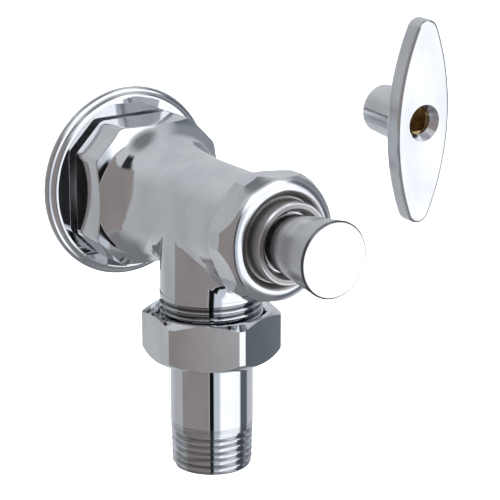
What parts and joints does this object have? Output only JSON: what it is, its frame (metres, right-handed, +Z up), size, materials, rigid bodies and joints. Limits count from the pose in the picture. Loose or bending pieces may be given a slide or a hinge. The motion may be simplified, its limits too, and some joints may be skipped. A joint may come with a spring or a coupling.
{
  "type": "angle stop valve",
  "caption": "Chrome angle stop valve with wall flange, hexagon bonnet, capped key stem, union nut, threaded tailpiece and loose tee key.",
  "frame": {"origin": "where the axis of the inlet run meets the wall face, which is the back of the wall flange", "axes": "+Z up, the run stands out of the wall along -Y, the outlet points down along -Z, and X is across"},
  "size_m": [0.0773, 0.0923, 0.117],
  "materials": {
    "polished_chrome": "polished chrome plate over brass",
    "satin_chrome": "satin chrome plate, turned",
    "brass": "machined brass",
    "rubber": "moulded black rubber",
    "fibre": "pressed red fibre",
    "ptfe": "white PTFE"
  },
  "bodies": {
    "root": {"valve_body": "polished_chrome", "seat_ring": "brass", "cartridge": "polished_chrome", "cartridge_o_ring": "rubber", "bonnet_gasket": "fibre", "bonnet_nut": "polished_chrome", "packing_washer": "brass", "stem_packing": "ptfe", "gland_nut": "polished_chrome", "thrust_washer": "ptfe"},
    "flange": {"wall_flange": "polished_chrome"},
    "stem": {"stem": "brass", "stem_o_ring": "rubber"},
    "plunger": {"plunger": "brass", "seat_washer": "rubber", "washer_screw": "brass"},
    "cap": {"stem_cap": "satin_chrome", "cap_o_ring": "rubber"},
    "tailpiece": {"tailpiece": "polished_chrome", "union_gasket": "fibre"},
    "union_nut": {"union_nut": "polished_chrome"},
    "key": {"key_handle": "polished_chrome", "key_socket": "brass"}
  },
  "joints": [
    {"name": "flange_spin", "type": "hinge", "parent": "root", "child": "flange", "pos_m": [0, 0, 0], "axis": [0, 1, 0], "continuous": true},
    {"name": "stem_turn", "type": "hinge", "parent": "root", "child": "stem", "pos_m": [0, -0.06, 0], "axis": [0, -1, 0], "range_deg": [0, 1080.5]},
    {"name": "plunger_lift", "type": "slide", "parent": "root", "child": "plunger", "axis": [0, -1, 0], "range_m": [0, 0.0045]},
    {"name": "cap_pull", "type": "slide", "parent": "root", "child": "cap", "axis": [0, -1, 0], "range_m": [0, 0.025]},
    {"name": "union_drop", "type": "slide", "parent": "root", "child": "tailpiece", "axis": [0, 0, -1], "range_m": [0, 0.0091]},
    {"name": "nut_turn", "type": "hinge", "parent": "tailpiece", "child": "union_nut", "pos_m": [0, -0.0406, -0.0315], "axis": [0, 0, -1], "range_deg": [0, 1800]},
    {"name": "key_offer", "type": "slide", "parent": "root", "child": "key", "axis": [-0.5172, -0.8112, -0.2728], "range_m": [0, 0.08469]}
  ],
  "couplings": [
    {"joint": "stem_turn", "follows": "plunger_lift", "rad_per_m": 4188.8},
    {"joint": "union_drop", "follows": "nut_turn", "m_per_rad": 0.00028875}
  ]
}
